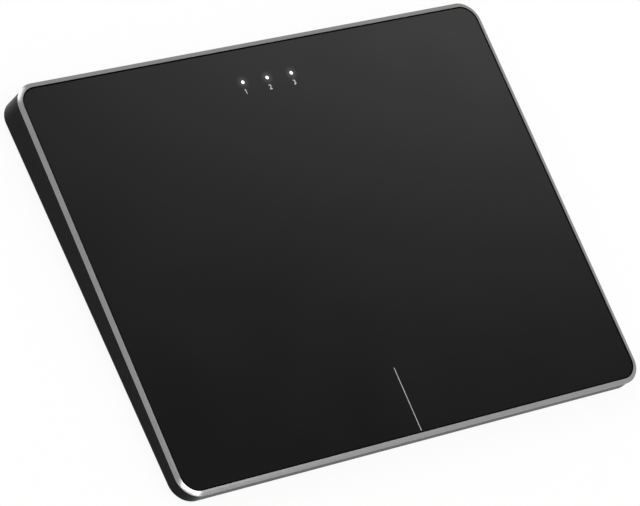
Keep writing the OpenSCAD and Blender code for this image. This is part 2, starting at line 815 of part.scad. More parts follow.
module click_post(side) {
    top = click_tip_z - click_gap;
    root = cover_z(click_y) - cover_t / 2;
    deck() translate([side * click_x, click_y, root]) cylinder(d = click_post_d, h = top - root);
}

module board_spots() {
    for (s = sides, e = ends) {
        x = board_w / 2 - board_screw_inset;
        y = board_d / 2 - board_screw_inset;
        on_floor(s[1] * x, board_y + e[1] * y, 0) children();
    }
}

module cover_screw_hole(side, y) {
    on_floor(side * boss_x, y, -cover_t) {
        translate([0, 0, -1]) cylinder(d = cover_screw_d + 2 * screw_gap, h = cover_t + 2);
        translate([0, 0, -1]) cylinder(d = cover_head_d + 4 * screw_gap, h = cover_head_h + cover_head_sunk + 1);
    }
}

module foot_spot(end, side) {
    translate([side * foot_x, under_y + end * (under_d / 2 - foot_end), 0]) children();
}

module foot_recess(end, side) {
    foot_spot(end, side) cylinder(d = foot_d + 2 * foot_gap, h = foot_h + foot_sunk);
}

module foot(end, side) color("#0e0e0e") foot_spot(end, side) rotate_extrude() polygon([
    [0, 0],
    [foot_d / 2 - foot_bevel, 0],
    [foot_d / 2, foot_bevel],
    [foot_d / 2, foot_h + foot_sunk],
    [0, foot_h + foot_sunk]
]);

module cover_screws() color("#8c8c8c") {
    for (s = sides, y = boss_rows) {
        on_floor(s[1] * boss_x, y, cover_head_sunk - cover_t) difference() {
            union() {
                cylinder(d = cover_head_d, h = cover_head_h);
                translate([0, 0, cover_head_h / 2]) {
                    cylinder(d = cover_screw_d, h = cover_head_h / 2 + cover_screw_l);
                }
            }
            translate([0, 0, -cover_head_h / 2]) cross_recess(cover_head_d * 2 / 3, cover_head_h);
        }
    }
}

// Main board and its parts
module main_board() color("#145a30") difference() {
    on_floor(0, board_y, 0) block(board_w, board_d, board_lift, board_top);
    board_spots() cylinder(d = small_screw_d + 2 * screw_gap, h = board_top + 1);
    on_floor(-port_w / 2 - port_gap, port_end - port_gap, board_lift - 1) {
        cube([port_w + 2 * port_gap, port_l, board_t + 2]);
    }
}

module board_screws() color("#a0a0a0") board_spots() translate([0, 0, board_top]) small_screw(board_top);

module controller_chip() color("#1c1c1c") on_floor(control_x, board_y, 0) {
    block(chip_w, chip_w, board_top, board_top + chip_h);
}

module charge_chip() color("#202020") on_floor(0, board_front + charge_chip_w, 0) {
    block(charge_chip_w, charge_chip_w, board_top, board_top + chip_h);
}

module radio_module() color("#b8bab8") on_floor(-control_x, board_y, 0) difference() {
    block(radio_w, radio_d, board_top, board_top + radio_h);
    block(radio_w - 2 * radio_wall, radio_d - 2 * radio_wall, board_top - 1, board_top + radio_h - radio_wall);
}

module port_shell() color("#c4c6c8") on_floor(0, port_mouth, board_mid) {
    difference() {
        rotate([90, 0, 0]) linear_extrude(port_l) stadium(port_w, port_h);
        translate([0, 1, 0]) rotate([90, 0, 0]) {
            linear_extrude(port_l - port_wall + 1) stadium(port_w - 2 * port_wall, port_h - 2 * port_wall);
        }
    }
    for (s = sides) {
        over = port_wall * 3 / 4;
        x = s[1] > 0 ? port_w / 2 - over : -port_w / 2 - port_foot_w + over;
        translate([x, port_end + port_gap - port_mouth, board_t / 2]) {
            cube([port_foot_w, port_foot_l, port_wall]);
        }
    }
}

module port_tongue() color("#202020") on_floor(0, port_end + port_wall, board_mid) {
    translate([0, tongue_base, 0]) rotate([90, 0, 0]) {
        linear_extrude(tongue_base) stadium(port_w - 2 * port_wall - 2 * eps, port_h - 2 * port_wall - 2 * eps);
    }
    translate([-tongue_w / 2, tongue_base / 2, -tongue_t / 2]) cube([tongue_w, tongue_base / 2 + tongue_l, tongue_t]);
}

// Flat cable
module flex_socket_main() color("#d8d2c0") on_floor(flex_x, board_front + flex_socket_d / 2, 0) difference() {
    block(flex_socket_w, flex_socket_d, board_top, board_top + flex_socket_h);
    translate([0, flex_in - flex_socket_d / 2, board_top + flex_socket_h / 2]) {
        block(flex_w + 2 * eps, 2 * flex_in, -flex_t / 2 - eps, flex_t / 2 + eps);
    }
}

flex_z0 = board_top + flex_socket_h / 2;
flex_far_z = sensor_z - flex_socket_h / 2;
flex_y1 = desk_y(flex_pad_back, flex_far_z);
flex_z1 = desk_z(flex_pad_back, flex_far_z) - floor_z;
flex_steps = 16;

function flex_path(i) = let (t = i / flex_steps)
    [board_front + (flex_y1 - board_front) * t, flex_z0 + (flex_z1 - flex_z0) * (1 - cos(180 * t)) / 2];

flex_mid = concat(
    [[board_front + flex_in, flex_z0]],
    [for (i = [0:flex_steps]) flex_path(i)],
    [[flex_y1 - flex_in + flex_gap, flex_z1]]
);

module flex_cable() color("#cfc9b4") on_floor(flex_x - flex_w / 2, 0, 0) rotate([90, 0, 90]) linear_extrude(flex_w) {
    polygon(concat(
        [for (p = flex_mid) [p[0], p[1] + flex_t / 2]],
        [for (i = [len(flex_mid) - 1:-1:0]) [flex_mid[i][0], flex_mid[i][1] - flex_t / 2]]
    ));
}

// Battery
module battery_tape() color("#e0dcc8") on_floor(0, cell_y, 0) {
    block(cell_w - 2 * tape_inset, cell_d - 2 * tape_inset, 0, tape_t);
}

module battery_cell() color("#b0b2b0") on_floor(0, cell_y, 0) slab(cell_w, cell_d, cell_r, tape_t, tape_t + cell_t);

module battery_guard() color("#c8a23c") on_floor(0, guard_y, 0) {
    block(guard_l, guard_w, guard_lift, guard_lift + guard_t);
}

module battery_socket() color("#e8e4d8") on_floor(-socket_x, board_front + socket_d / 2, 0) difference() {
    block(socket_w, socket_d, board_top, board_top + socket_h);
    translate([0, -socket_wall, 0]) {
        block(plug_w + 2 * plug_gap, socket_d, board_top + socket_wall, board_top + socket_h - socket_wall);
    }
}

module battery_plug() color("#f0ece0") on_floor(-socket_x, plug_front, plug_z) {
    translate([-plug_w / 2, 0, -plug_h / 2]) cube([plug_w, plug_out + socket_d - socket_wall - plug_gap, plug_h]);
}

lead_rings = 14;
lead_sides = 8;

function unit(v) = v / norm(v);

function bend(p, t) = pow(1 - t, 3) * p[0] + 3 * t * pow(1 - t, 2) * p[1] + 3 * t * t * (1 - t) * p[2] + t * t * t * p[3];

function bend_way(p, t) = unit(
    pow(1 - t, 2) * (p[1] - p[0]) + 2 * t * (1 - t) * (p[2] - p[1]) + t * t * (p[3] - p[2])
);

function lead_ring(p, t) = let (way = bend_way(p, t), across = unit(cross(way, [0, 0, 1])), up = cross(across, way))
    [for (k = [0:lead_sides - 1]) let (a = 360 * k / lead_sides)
        bend(p, t) + lead_d / 2 * (cos(a) * across + sin(a) * up)];

// A round lead along a bend given by its two ends and their handles
module lead(p) {
    points = [for (i = [0:lead_rings]) each lead_ring(p, i / lead_rings)];
    skin = [for (i = [0:lead_rings - 1], k = [0:lead_sides - 1])
        let (a = i * lead_sides + k, b = i * lead_sides + (k + 1) % lead_sides)
        each [[a, b, b + lead_sides], [a, b + lead_sides, a + lead_sides]]];
    first = [for (k = [1:lead_sides - 2]) [0, k + 1, k]];
    base = lead_rings * lead_sides;
    last = [for (k = [1:lead_sides - 2]) [base, base + k, base + k + 1]];
    polyhedron(points, concat(skin, first, last));
}

module battery_lead(place) {
    start = [-guard_l / 2, guard_y + place * lead_pitch / 2, guard_lift + guard_t / 2];
    end = [-socket_x + place * lead_pitch / 2, plug_front, plug_z];
    reach = guard_w - max(place, 0) * lead_pitch;
    on_floor(0, 0, 0) lead([start, start - [guard_l / 3, 0, 0], end - [0, reach, 0], end]);
}

module battery_lead_red() color("#b02020") battery_lead(-1);

module battery_lead_black() color("#181818") battery_lead(1);

// Power slider
slider_x = -control_x - slide_travel / 2;
stem_low = flange_z + run_gap;
slide_body_z = board_lift - slide_body_h;
stem_high = slide_body_z + slide_body_h / 2;

module power_switch() color("#8e8e8a") on_floor(-control_x, control_y, 0) difference() {
    block(slide_body_l, slide_body_w, slide_body_z, board_lift);
    block(stem_w + slide_travel + 4 * run_gap, stem_w + 2 * run_gap, slide_body_z - 1, stem_high + run_gap);
}

module power_stem() color("#e4e4e0") on_floor(slider_x, control_y, 0) block(stem_w, stem_w, stem_low, stem_high);

module power_slider() color("#303030") on_floor(slider_x, control_y, 0) difference() {
    union() {
        block(grip_l, grip_w, -cover_t, flange_top);
        block(flange_l, flange_w, flange_z, flange_top);
    }
    block(stem_w + 2 * eps, stem_w + 2 * eps, stem_low, flange_top + 1);
    for (i = [-1:1]) {
        translate([i * 2 * groove_w, 0, 0]) block(groove_w, grip_w + 1, -cover_t - 1, groove_t - cover_t);
    }
}

module slider_slot() {
    slot_l = grip_l + slide_travel + 4 * run_gap;
    slot_w = grip_w + 2 * run_gap;
    on_floor(-control_x, control_y, 0) {
        block(slot_l, slot_w, -cover_t - 1, 1);
        block(slot_l + 2 * dish_margin, slot_w + 2 * dish_margin, -cover_t - 1, dish_t - cover_t);
    }
}

// Channel button
press_body_z = board_lift - press_body_h;
press_top = flange_top + press_plunger_l;

module channel_switch() color("#b8b8b4") on_floor(control_x, control_y, 0) difference() {
    block(press_body_w, press_body_w, press_body_z, board_lift);
    translate([0, 0, press_body_z - 1]) {
        cylinder(d = press_plunger_d + 2 * pivot_gap, h = press_top + press_travel + 2 * pivot_gap - press_body_z + 1);
    }
}

module channel_plunger() color("#4a4a4a") on_floor(control_x, control_y, flange_top) {
    cylinder(d = press_plunger_d, h = press_plunger_l);
}

module channel_button() color("#303030") on_floor(control_x, control_y, 0) {
    translate([0, 0, button_sunk - cover_t]) cylinder(d = button_d, h = flange_top + cover_t - button_sunk);
    translate([0, 0, flange_z]) cylinder(d = button_flange_d, h = flange_t);
}

touch_plate();
bond_sheet();
sensor_board();
stiffener();
divider_mark();
for (l = lamps) {
    indicator_lens(l[1]);
    indicator_lamp(l[1]);
}
touch_chip();
flex_socket_pad();
for (s = sides) {
    click_switch(s[1]);
    click_plunger(s[1]);
    stop_bumper(s[1]);
    hinge_bracket(s[1]);
    hinge_pin(s[1]);
}
hinge_screws();
bezel_ring();
case_frame();
bottom_cover();
cover_screws();
for (e = ends, s = sides) {
    foot(e[1], s[1]);
}
main_board();
board_screws();
controller_chip();
charge_chip();
radio_module();
port_shell();
port_tongue();
flex_cable();
flex_socket_main();
battery_cell();
battery_tape();
battery_guard();
battery_lead_red();
battery_lead_black();
battery_plug();
battery_socket();
power_switch();
power_stem();
power_slider();
channel_switch();
channel_plunger();
channel_button();
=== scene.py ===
import json
import math

import bmesh
import bpy
from mathutils import Matrix, Vector


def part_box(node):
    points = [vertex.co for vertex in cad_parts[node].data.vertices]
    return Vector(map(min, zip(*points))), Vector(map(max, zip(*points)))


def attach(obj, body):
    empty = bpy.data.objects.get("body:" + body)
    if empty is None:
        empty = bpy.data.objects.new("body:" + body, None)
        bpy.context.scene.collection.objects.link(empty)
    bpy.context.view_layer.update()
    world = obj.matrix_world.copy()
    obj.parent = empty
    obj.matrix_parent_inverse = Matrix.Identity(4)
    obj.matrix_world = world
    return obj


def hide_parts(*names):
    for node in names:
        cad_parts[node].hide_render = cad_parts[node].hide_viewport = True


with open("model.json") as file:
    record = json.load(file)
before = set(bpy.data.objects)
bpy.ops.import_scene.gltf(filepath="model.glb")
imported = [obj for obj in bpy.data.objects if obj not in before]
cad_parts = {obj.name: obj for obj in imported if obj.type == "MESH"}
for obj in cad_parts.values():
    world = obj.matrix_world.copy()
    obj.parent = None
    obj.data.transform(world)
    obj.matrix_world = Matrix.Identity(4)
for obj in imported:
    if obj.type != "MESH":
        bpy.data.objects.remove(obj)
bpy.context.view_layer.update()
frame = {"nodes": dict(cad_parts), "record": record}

# Sizes in millimetres in the deck frame, which leans and has its origin in the middle of the bezel's lip
MM = 0.001
CASE_W = 159.5
CASE_D = 120.5
CORNER_R = 6.15
FRONT_H = 5.35
BACK_H = 10.25
WALL_T = 2.2
EDGE_R = 1.0
FOOT_H = 1.0
COVER_T = 1.2
COVER_WALL = 1.1
BEZEL_W = 1.32
OVERHANG = 0.25
BEZEL_DROP = 0.5
BEZEL_LIP = 0.12
BEZEL_H = 1.3
LAND_W = 0.66
LAND_DROP = 0.2
SKIRT_T = 0.6
PLATE_GAP = 0.4
PLATE_RECESS = 0.12
PLATE_R = 4.7
PLATE_T = 0.9
LEDGE_Z = -1.6
LAMP_PITCH = 8.4
LAMP_SETBACK = 9.6
LENS_D = 1.0
DIVIDER_L = 19.0
DIVIDER_W = 0.16
DIVIDER_MARGIN = 0.15
PORT_W = 8.94
PORT_H = 3.16
PORT_GAP = 0.15
PORT_LEAD_IN = 0.25
SCREW_HEAD_D = 3.6
SCREW_HEAD_H = 0.5
SCREW_SHANK_D = 2.0
SCREW_POINT = 0.4
RECESS_W = 2.4
RECESS_ARM = 0.6
RECESS_DEPTH = 0.25
RECESS_TAPER = ((1.15, -RECESS_DEPTH), (1.0, 0.0), (0.75, RECESS_DEPTH))
FOOT_ROLL = 0.35

# Inside the case: bosses for the cover screws, and the front wall's pockets for stop tabs and hooks
FLOOR_Z = FOOT_H + COVER_T
BOSS_D = 5.2
BOSS_WEB = 3.0
BOSS_REACH = 4.55
BOSS_TOP = -2.92
BOSS_LIFT = 0.02
BORE_PLAY = 0.05
BORE_D = SCREW_SHANK_D + 2 * BORE_PLAY
BORE_DEPTH = 2.85
POCKET_PAST = 0.8
TAB_X = 25.75
TAB_POCKET_W = 10.8
TAB_POCKET_DEPTH = 1.0
TAB_POCKET_Z = (-3.35, -2.32)
HOOK_X = 49.75
HOOK_POCKET_W = 8.4
HOOK_POCKET_DEPTH = 0.8
HOOK_POCKET_OVER = (0.4, 1.15)

# Print: thickness and digits in millimetres, and the proportions of a one of height 1
PRINT_T = 0.008
DIGIT_H = 1.45
DIGIT_BOLD = 0.008
DIGIT_SIDE = -0.19
DIGIT_DROP = 2.85
ONE_STEM = 0.125
ONE_FLAG_REACH = 0.16
ONE_FLAG_DROP = 0.18
ONE_FLAG_T = 0.11

# Roundings of edges in millimetres
BEZEL_EDGE = 0.03
PLATE_EDGE = 0.05
PRINT_EDGE = 0.04
SCREW_EDGE = 0.12
SOFT_EDGES = [
    ("bottom_cover", "base", "cover_black", 0.12),
    ("port_shell", "base", "port_steel", 0.06),
    ("port_tongue", "base", "chip_black", 0.06),
    ("power_slider", "power_slider", "control_black", 0.1),
    ("channel_button", "channel_button", "control_black", 0.15),
]

# Lenses: play in the hole, reach below the plate, height of the dome and reach of the hole's cutter
LENS_PLAY = 0.005
LENS_REACH = 0.1
LENS_DOME = 0.04
HOLE_PAST = 1.0
DOME_ANGLES = (0.4, 0.8, 1.2)

# Light: the lit windows and their halo, the floor, the sky and the soft panels
HALO_R = 2.6
HALO_LEVEL = 0.045
LAMP_LEVEL = 0.9
FLOOR_HALF = 20.0
FLOOR_GREY = 0.86
FLOOR_ROUGH = 0.9
FLOOR_WHITE = 0.92
WORLD_LEVEL = 0.68
# Parts of the sky: direction, brightness added there, and the angles at which it begins and is full
SKY_PARTS = [
    ((0.6, 0.22, 0.77), -0.53, 27, 17),
    ((0.8, -0.45, 0.45), 0.12, 40, 15),
]
# Panels: name, place, direction of the length, length, breadth and brightness
PANELS = [
    ("back_right", (0.92, 0.471, 0.953), (-0.725, 0.528, 0.443), 0.462, 0.333, 3.05),
    ("top_front", (0.14, -0.305, 0.997), (0.764, -0.645, -0.026), 0.77, 0.42, 3.2),
    ("back_left", (-0.255, 0.894, 0.509), (-0.695, 0.196, -0.691), 0.965, 0.66, 2.64),
]

# Camera: place and aim in the deck frame in millimetres, roll in degrees, lens, and reach in metres
CAMERA_PLACE = (-689.67, -280.98, 875.83)
CAMERA_AIM = (-7.61, -3.53, -0.009)
CAMERA_ROLL = 49.1656
CAMERA_LENS = 237.9375
SENSOR_W = 36.0
CLIP_NEAR = 0.05
CLIP_FAR = 100.0

# Sizes that follow from those above
SEAT_W = BEZEL_W - OVERHANG
OPEN_W = CASE_W - 2 * SEAT_W
OPEN_D = CASE_D - 2 * SEAT_W
OPEN_R = CORNER_R - SEAT_W
PLATE_W = OPEN_W - 2 * PLATE_GAP
PLATE_D = OPEN_D - 2 * PLATE_GAP
PLATE_TOP = -PLATE_RECESS
PLATE_LOW = PLATE_TOP - PLATE_T
SHOULDER_Z = -(BEZEL_DROP + BEZEL_LIP)
LAMP_Y = PLATE_D / 2 - LAMP_SETBACK
LAMPS = {1: -LAMP_PITCH, 2: 0.0, 3: LAMP_PITCH}

TILT = math.atan((BACK_H - FRONT_H) / CASE_D)
DECK_SHIFT = (OVERHANG * math.cos(TILT) - (BEZEL_DROP + BACK_H - EDGE_R) * math.sin(TILT)) / 2
DECK_LIFT = FOOT_H + CASE_D / 2 * math.sin(TILT) + FRONT_H * math.cos(TILT)
WORLD = Matrix.Scale(MM, 4)
DECK = (
    Matrix.Translation(Vector((0, DECK_SHIFT, DECK_LIFT)) * MM)
    @ Matrix.Rotation(TILT, 4, "X")
    @ Matrix.Scale(MM, 4)
)

# Steps of curves, the angles of sharp and flat edges, and the distances at which points are welded
CORNER_STEPS = 20
ROUND_STEPS = 48
FACE_STEPS = 12
WALL_STEPS = 8
EDGE_STEPS = 4
TEXT_STEPS = 6
SHARP = math.radians(32)
FLAT = math.radians(0.5)
WELD = 1e-7
TEXT_WELD = 1e-4

# Share of a noise's range that is used, and how far roughness varies with it
NOISE_LOW = 0.3
NOISE_HIGH = 0.7
ROUGH_VARIES = 0.06


# Outlines and lofts
def bend(start, corner, end, steps=5):
    """Points of a rounded corner, from start to end."""
    points = []
    for i in range(steps + 1):
        t = i / steps
        points.append(
            tuple(
                (1 - t) ** 2 * a + 2 * t * (1 - t) * b + t * t * c
                for a, b, c in zip(start, corner, end)
            )
        )
    return points


def rounded_outline(w, d, r):
    points = []
    for quarter in range(4):
        cx = (w / 2 - r) * (1 if quarter in (0, 3) else -1)
        cy = (d / 2 - r) * (1 if quarter in (0, 1) else -1)
        for i in range(CORNER_STEPS + 1):
            a = math.radians(90) * (quarter + i / CORNER_STEPS)
            points.append((cx + r * math.cos(a), cy + r * math.sin(a)))
    return points


def circle(r, steps=ROUND_STEPS):
    turns = [2 * math.pi * i / steps for i in range(steps)]
    return [(r * math.cos(a), r * math.sin(a)) for a in turns]


def deck_ring(outline, z, x=0.0, y=0.0):
    return [DECK @ Vector((x + px, y + py, z)) for px, py in outline]


def loft(rings, closed=False):
    """Quads from ring to ring. A closed loft joins its ends, and any other has both ends capped."""
    n = len(rings[0])
    verts = [p for ring in rings for p in ring]
    faces = []
    for k in range(len(rings) if closed else len(rings) - 1):
        a = k * n
        b = (k + 1) % len(rings) * n
        faces += [(a + i, a + (i + 1) % n, b + (i + 1) % n, b + i) for i in range(n)]
    if not closed:
        faces.append(tuple(reversed(range(n))))
        faces.append(tuple(range(len(verts) - n, len(verts))))
    return verts, faces


# Objects
def new_object(name, verts, faces):
    mesh = bpy.data.meshes.new(name)
    mesh.from_pydata([tuple(v) for v in verts], [], faces)
    bm = bmesh.new()
    bm.from_mesh(mesh)
    bmesh.ops.recalc_face_normals(bm, faces=bm.faces)
    bm.to_mesh(mesh)
    bm.free()
    obj = bpy.data.objects.new(name, mesh)
    bpy.context.scene.collection.objects.link(obj)
    return obj


def baked(obj):
    """Replaces the mesh by the one that the modifiers make."""
    graph = bpy.context.evaluated_depsgraph_get()
    mesh = bpy.data.meshes.new_from_object(obj.evaluated_get(graph))
    obj.modifiers.clear()
    obj.data = mesh


def combine(obj, operation, other):
    """Joins another object to this one, or cuts it out, and removes the other."""
    mod = obj.modifiers.new("combine", "BOOLEAN")
    mod.operation = operation
    mod.solver = "EXACT"
    mod.object = other
    bpy.context.view_layer.update()
    baked(obj)
    bpy.data.objects.remove(other)


def cut(obj, *cutters):
    for cutter in cutters:
        combine(obj, "DIFFERENCE", cutter)


def smooth(obj):
    obj.data.shade_smooth()
    obj.data.set_sharp_from_angle(angle=SHARP)
    mod = obj.modifiers.new("flat_faces", "WEIGHTED_NORMAL")
    mod.keep_sharp = True
    baked(obj)


def dress(obj, body, slot, *nodes):
    """Puts a finished piece on its body in the look of its slot."""
    smooth(obj)
    obj.data.materials.clear()
    obj.data.materials.append(MATERIALS[slot])
    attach(obj, body)
    if nodes:
        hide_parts(*nodes)
    return obj


# Materials
def noise(tree, size_mm, detail=2.0):
    """A noise over the object's own coordinates with features of about that size."""
    where = tree.nodes.new("ShaderNodeTexCoord")
    grain = tree.nodes.new("ShaderNodeTexNoise")
    grain.inputs["Scale"].default_value = 1 / (size_mm * MM)
    grain.inputs["Detail"].default_value = detail
    tree.links.new(where.outputs["Object"], grain.inputs["Vector"])
    return grain.outputs["Fac"]


def spread(tree, factor, low, high):
    span = tree.nodes.new("ShaderNodeMapRange")
    span.inputs["From Min"].default_value = NOISE_LOW
    span.inputs["From Max"].default_value = NOISE_HIGH
    span.inputs["To Min"].default_value = low
    span.inputs["To Max"].default_value = high
    tree.links.new(factor, span.inputs["Value"])
    return span.outputs["Result"]


def surface(
    slot, rough, metallic=0.0, specular=0.5, grain_mm=0.3, depth_mm=0.0, patch_mm=6.0, tone=0.06
):
    """A look with the record's base colour, patches of tone and roughness, and a fine grain in relief."""
    base = next(m["base_color"] for m in frame["record"]["materials"] if m["slot"] == slot)[:3]
    mat = bpy.data.materials.new(slot)
    mat.use_nodes = True
    tree = mat.node_tree
    shader = tree.nodes["Principled BSDF"]
    shader.inputs["Metallic"].default_value = metallic
    shader.inputs["Specular IOR Level"].default_value = specular
    patches = noise(tree, patch_mm)
    tint = tree.nodes.new("ShaderNodeMix")
    tint.data_type = "RGBA"
    tint.inputs["A"].default_value = [c * (1 - tone) for c in base] + [1]
    tint.inputs["B"].default_value = [c * (1 + tone) for c in base] + [1]
    tree.links.new(spread(tree, patches, 0.0, 1.0), tint.inputs["Factor"])
    tree.links.new(tint.outputs["Result"], shader.inputs["Base Color"])
    rougher = spread(tree, patches, rough * (1 - ROUGH_VARIES), rough * (1 + ROUGH_VARIES))
    tree.links.new(rougher, shader.inputs["Roughness"])
    if depth_mm:
        bump = tree.nodes.new("ShaderNodeBump")
        bump.inputs["Distance"].default_value = depth_mm * MM
        tree.links.new(noise(tree, grain_mm), bump.inputs["Height"])
        tree.links.new(bump.outputs["Normal"], shader.inputs["Normal"])
    return mat


def glow(tree, centre, radius):
    """Fades from 1 at a centre to 0 at a radius, in the object's own coordinates."""
    where = tree.nodes.new("ShaderNodeTexCoord")
    away = tree.nodes.new("ShaderNodeVectorMath")
    away.operation = "DISTANCE"
    away.inputs[1].default_value = centre
    tree.links.new(where.outputs["Object"], away.inputs[0])
    fade = tree.nodes.new("ShaderNodeMapRange")
    fade.interpolation_type = "SMOOTHERSTEP"
    fade.inputs["From Max"].default_value = radius
    fade.inputs["To Min"].default_value = 1.0
    fade.inputs["To Max"].default_value = 0.0
    tree.links.new(away.outputs["Value"], fade.inputs["Value"])
    return fade.outputs["Result"]


def touch_glass():
    """Satin black glass with the lights' faint halo in it."""
    mat = surface("touch_glass", rough=0.25, specular=0.2, patch_mm=25, tone=0.04)
    tree = mat.node_tree
    shader = tree.nodes["Principled BSDF"]
    total = None
    for x in LAMPS.values():
        halo = glow(tree, DECK @ Vector((x, LAMP_Y, PLATE_TOP)), HALO_R * MM)
        if total is None:
            total = halo
            continue
        both = tree.nodes.new("ShaderNodeMath")
        both.operation = "ADD"
        tree.links.new(total, both.inputs[0])
        tree.links.new(halo, both.inputs[1])
        total = both.outputs["Value"]
    level = tree.nodes.new("ShaderNodeMath")
    level.operation = "MULTIPLY"
    level.inputs[1].default_value = HALO_LEVEL
    tree.links.new(total, level.inputs[0])
    tree.links.new(level.outputs["Value"], shader.inputs["Emission Strength"])
    shader.inputs["Emission Color"].default_value = (1, 1, 1, 1)
    return mat


def lens_white():
    mat = surface("lens_white", rough=0.3, patch_mm=0.5, tone=0.02)
    shader = mat.node_tree.nodes["Principled BSDF"]
    shader.inputs["Emission Color"].default_value = (1, 1, 1, 1)
    shader.inputs["Emission Strength"].default_value = LAMP_LEVEL
    return mat


MATERIALS = {
    "touch_glass": touch_glass(),
    "lens_white": lens_white(),
    "bezel_aluminium": surface("bezel_aluminium", rough=0.2, metallic=1, patch_mm=3, tone=0.03),
    "case_black": surface("case_black", rough=0.25, specular=0.042, grain_mm=0.4, depth_mm=0.08),
    "cover_black": surface("cover_black", rough=0.55, specular=0.35, grain_mm=0.35, depth_mm=0.03),
    "foot_rubber": surface("foot_rubber", rough=0.75, specular=0.3, grain_mm=0.2, depth_mm=0.01),
    "control_black": surface("control_black", rough=0.45, grain_mm=0.3, depth_mm=0.01),
    "mark_print": surface("mark_print", rough=0.6, patch_mm=1.0, tone=0.03),
    "bond_film": surface("bond_film", rough=0.5),
    "circuit_board": surface("circuit_board", rough=0.4, patch_mm=1.5, tone=0.25),
    "spring_steel": surface("spring_steel", rough=0.32, metallic=1),
    "lamp_white": surface("lamp_white", rough=0.35, patch_mm=1.0),
    "chip_black": surface("chip_black", rough=0.5, grain_mm=0.15, depth_mm=0.01),
    "socket_cream": surface("socket_cream", rough=0.5),
    "switch_grey": surface("switch_grey", rough=0.45),
    "plunger_dark": surface("plunger_dark", rough=0.4),
    "soft_rubber": surface("soft_rubber", rough=0.8, grain_mm=0.2, depth_mm=0.01),
    "screw_steel": surface("screw_steel", rough=0.35, metallic=1, patch_mm=1.0),
    "shield_tin": surface("shield_tin", rough=0.3, metallic=1),
    "port_steel": surface("port_steel", rough=0.25, metallic=1, patch_mm=2.0),
    "cable_film": surface("cable_film", rough=0.4, patch_mm=1.0, tone=0.1),
    "cell_foil": surface("cell_foil", rough=0.38, metallic=1, grain_mm=1.2, depth_mm=0.02),
    "tape_white": surface("tape_white", rough=0.9, grain_mm=0.2, depth_mm=0.02),
    "guard_amber": surface("guard_amber", rough=0.35, patch_mm=1.5, tone=0.15),
    "lead_red": surface("lead_red", rough=0.5),
    "lead_black": surface("lead_black", rough=0.5),
    "plug_white": surface("plug_white", rough=0.45),
}

for subpart in frame["record"]["subparts"]:
    node = frame["nodes"][subpart["node"]]
    node.data.materials.clear()
    node.data.materials.append(MATERIALS[subpart["material_slot"]])


# Bezel
def bezel():
    """A ring whose face falls outwards in one crowned sweep."""
    lip = BEZEL_EDGE
    slope_in = LAND_DROP / LAND_W
    slope_out = (BEZEL_DROP - LAND_DROP) / (BEZEL_W - LAND_W)
    inner = (lip, -lip * slope_in)
    outer = (BEZEL_W - lip, lip * slope_out - BEZEL_DROP)
    profile = (
        [(0, -BEZEL_H)]
        + bend((0, -lip), (0, 0), inner, steps=EDGE_STEPS)[:-1]
        + bend(inner, (LAND_W, -LAND_DROP), outer, steps=FACE_STEPS)
        + bend(outer, (BEZEL_W, -BEZEL_DROP), (BEZEL_W, -BEZEL_DROP - lip), steps=EDGE_STEPS)[1:]
        + [(BEZEL_W, SHOULDER_Z), (SKIRT_T, SHOULDER_Z), (SKIRT_T, -BEZEL_H)]
    )
    rings = [
        deck_ring(rounded_outline(OPEN_W + 2 * out, OPEN_D + 2 * out, OPEN_R + out), z)
        for out, z in profile
    ]
    ring = new_object("bezel", *loft(rings, closed=True))
    return dress(ring, "base", "bezel_aluminium", "bezel_ring")


# Case
def underside(y):
    """Height of the flat underside in the deck frame."""
    return -FRONT_H - (BACK_H - FRONT_H) * (y / CASE_D + 0.5)


def wall_ring(inset, z=None, over=None):
    """A ring of the case wall at a deck height, or at a height over the underside."""
    outline = rounded_outline(CASE_W - 2 * inset, CASE_D - 2 * inset, CORNER_R - inset)
    return [DECK @ Vector((x, y, underside(y) + over if z is None else z)) for x, y in outline]


def stadium(w, h):
    points = []
    for side in (1, -1):
        for i in range(CORNER_STEPS + 1):
            a = math.radians(180 * i / CORNER_STEPS - 90)
            points.append((side * ((w - h) / 2 + h / 2 * math.cos(a)), side * h / 2 * math.sin(a)))
    return points


def port_cutter():
    """The port's opening in the back wall, with a small bevel at the wall's face."""
    lo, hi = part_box("port_shell")
    gap = PORT_GAP * MM
    lead_in = PORT_LEAD_IN * MM
    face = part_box("case_frame")[1].y
    middle_z = hi.z - PORT_H / 2 * MM
    rings = []
    for y, grow in ((lo.y, 0), (hi.y, 0), (face - lead_in, 0), (face + lead_in, 2 * lead_in)):
        w = PORT_W * MM + 2 * (gap + grow)
        h = PORT_H * MM + 2 * (gap + grow)
        rings.append([Vector((x, y, middle_z + z)) for x, z in stadium(w, h)])
    return new_object("port_cutter", *loft(rings))


def screw_places():
    """Places of the cover screws, and their lowest and highest level, in millimetres."""
    lo, hi = (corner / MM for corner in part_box("cover_screws"))
    r = SCREW_HEAD_D / 2
    return [(x, y) for x in (lo.x + r, hi.x - r) for y in (lo.y + r, hi.y - r)], lo.z, hi.z


def deck_height(y, z):
    """Height over the ground of a deck level z above a place y on the ground."""
    along = (y - DECK_SHIFT + z * math.sin(TILT)) / math.cos(TILT)
    return DECK_LIFT + along * math.sin(TILT) + z * math.cos(TILT)


